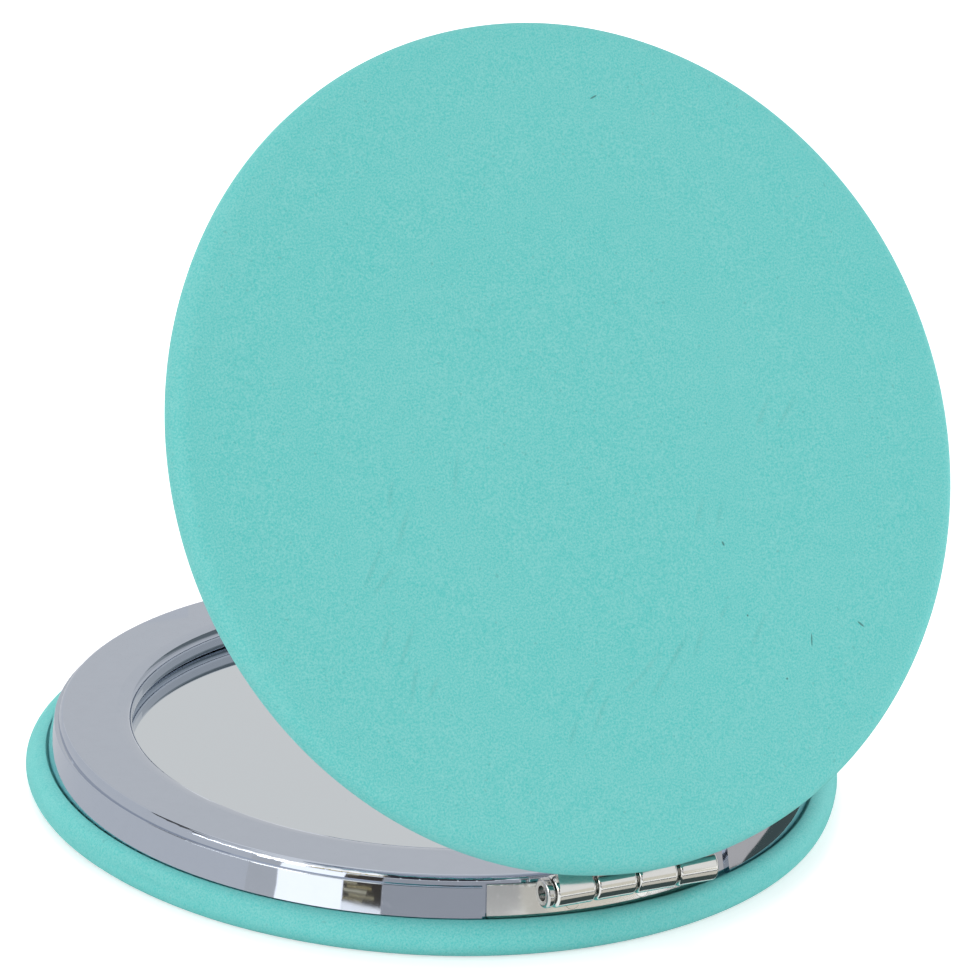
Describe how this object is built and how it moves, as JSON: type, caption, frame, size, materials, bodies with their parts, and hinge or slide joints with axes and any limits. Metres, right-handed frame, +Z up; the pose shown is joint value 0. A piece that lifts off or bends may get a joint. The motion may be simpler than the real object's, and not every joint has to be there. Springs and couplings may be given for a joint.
{
  "type": "compact mirror",
  "caption": "Round folding compact mirror: padded leatherette halves with plated ring frames and mirrors, joined by a rolled-knuckle friction hinge.",
  "frame": {"origin": "centre of the base cover's flat underside, where the compact rests", "axes": "+Z up out of the base mirror, +Y from the hinge to the front edge, +X along the hinge pin"},
  "size_m": [0.065, 0.0697, 0.0649],
  "materials": {
    "leatherette": "matte fine-grained turquoise leatherette",
    "cover_foam": "fine open foam",
    "board": "dense grey board",
    "plated_frame": "bright plated",
    "mirror_glass": "polished, silvered behind",
    "adhesive_foam": "white closed-cell tape foam",
    "plated_hinge": "bright plated sheet",
    "steel": "plain drawn wire",
    "magnet": "nickel-plated"
  },
  "bodies": {
    "base": {"base_cover_skin": "leatherette", "base_cover_foam": "cover_foam", "base_cover_board": "board", "base_frame": "plated_frame", "base_mirror": "mirror_glass", "base_mirror_pad": "adhesive_foam", "base_hinge_leaf": "plated_hinge", "base_hinge_rivets": "steel", "base_magnet": "magnet", "hinge_pin": "steel"},
    "lid": {"lid_cover_skin": "leatherette", "lid_cover_foam": "cover_foam", "lid_cover_board": "board", "lid_frame": "plated_frame", "lid_mirror": "mirror_glass", "lid_mirror_pad": "adhesive_foam", "lid_hinge_leaf": "plated_hinge", "lid_hinge_rivets": "steel", "lid_magnet": "magnet"}
  },
  "joints": [
    {"name": "lid_hinge", "type": "hinge", "parent": "base", "child": "lid", "pos_m": [0, -0.03265, 0.006], "axis": [1, 0, 0], "range_deg": [-60, 120]}
  ]
}
